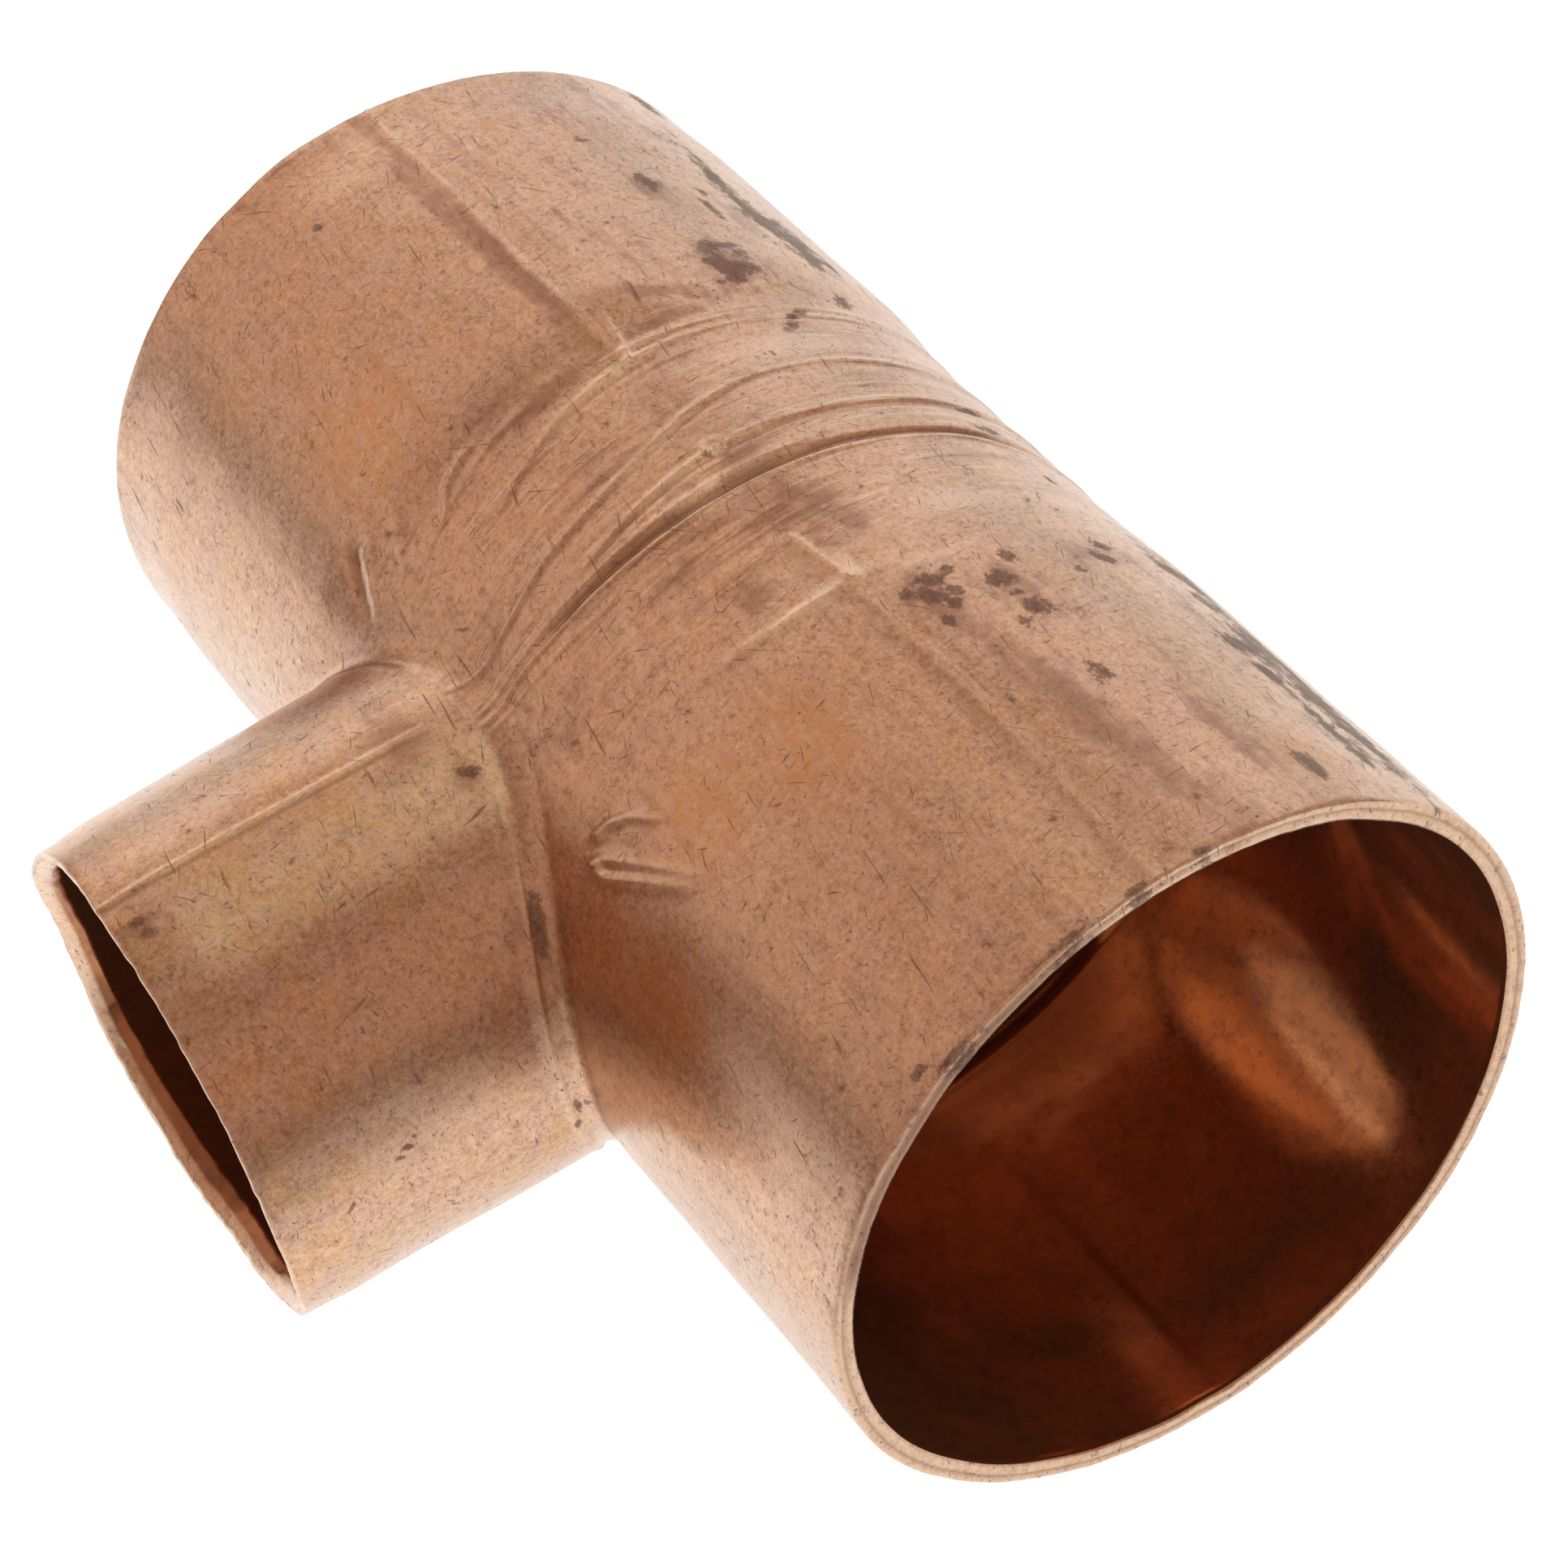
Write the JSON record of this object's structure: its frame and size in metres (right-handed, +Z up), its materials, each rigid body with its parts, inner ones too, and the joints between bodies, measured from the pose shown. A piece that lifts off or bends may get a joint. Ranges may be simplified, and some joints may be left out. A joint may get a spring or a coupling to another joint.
{
  "type": "reducing tee fitting",
  "caption": "Wrot copper reducing tee for soldered tube: a straight run, open at both ends, with a smaller branch socket square to it.",
  "frame": {"origin": "centre of the bounding box's base, on the surface that the tee lies on with its branch level; the axes of run and branch cross at (-0.0006, 0.011725, 0.02855) m", "axes": "+X along the run towards its front socket, -Y along the branch towards its mouth, +Z up"},
  "size_m": [0.1036, 0.0806, 0.0571],
  "materials": {
    "aged_copper": null
  },
  "bodies": {
    "root": {"tee_body": "aged_copper"}
  },
  "joints": []
}
